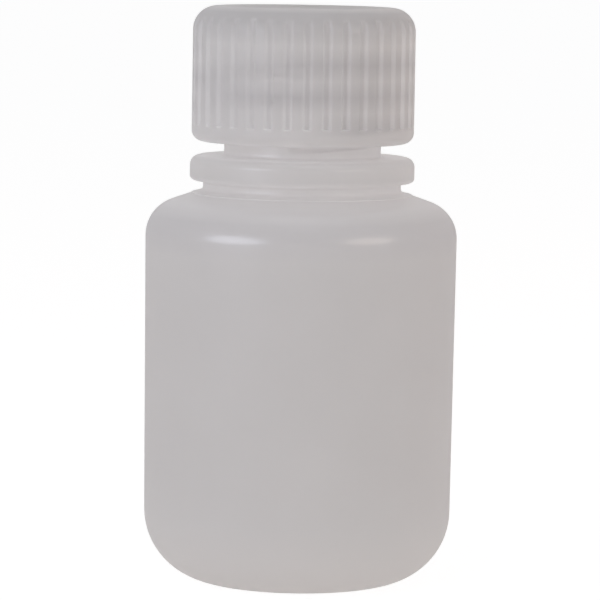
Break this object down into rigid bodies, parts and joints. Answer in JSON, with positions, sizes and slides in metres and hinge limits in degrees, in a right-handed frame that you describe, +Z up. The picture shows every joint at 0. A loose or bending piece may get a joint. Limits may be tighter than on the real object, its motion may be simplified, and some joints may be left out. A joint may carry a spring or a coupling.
{
  "type": "reagent bottle",
  "caption": "Round narrow-mouth plastic reagent bottle with a sloping shoulder, a neck ring and a ribbed screw cap that turns up its thread and off the neck.",
  "frame": {"origin": "centre of the foot ring, on the surface that the bottle stands on", "axes": "+Z up along the bottle's axis, -Y towards the front, where the neck thread starts"},
  "size_m": [0.034, 0.034, 0.0629],
  "materials": {
    "bottle_polyethylene": "milky, soft satin, as blown",
    "cap_polypropylene": "milky, satin, as moulded",
    "liner_foam": "matt foam sheet"
  },
  "bodies": {
    "bottle": {"bottle": "bottle_polyethylene"},
    "liner": {"cap_liner": "liner_foam"},
    "cap": {"cap": "cap_polypropylene"}
  },
  "joints": [
    {"name": "cap_lift", "type": "slide", "parent": "bottle", "child": "liner", "axis": [0, 0, 1], "range_m": [0, 0.01429]},
    {"name": "cap_turn", "type": "hinge", "parent": "liner", "child": "cap", "pos_m": [0, 0, 0.04823], "axis": [0, 0, 1], "range_deg": [0, 1620]}
  ],
  "couplings": [
    {"joint": "cap_lift", "follows": "cap_turn", "m_per_rad": 0.00050532}
  ]
}
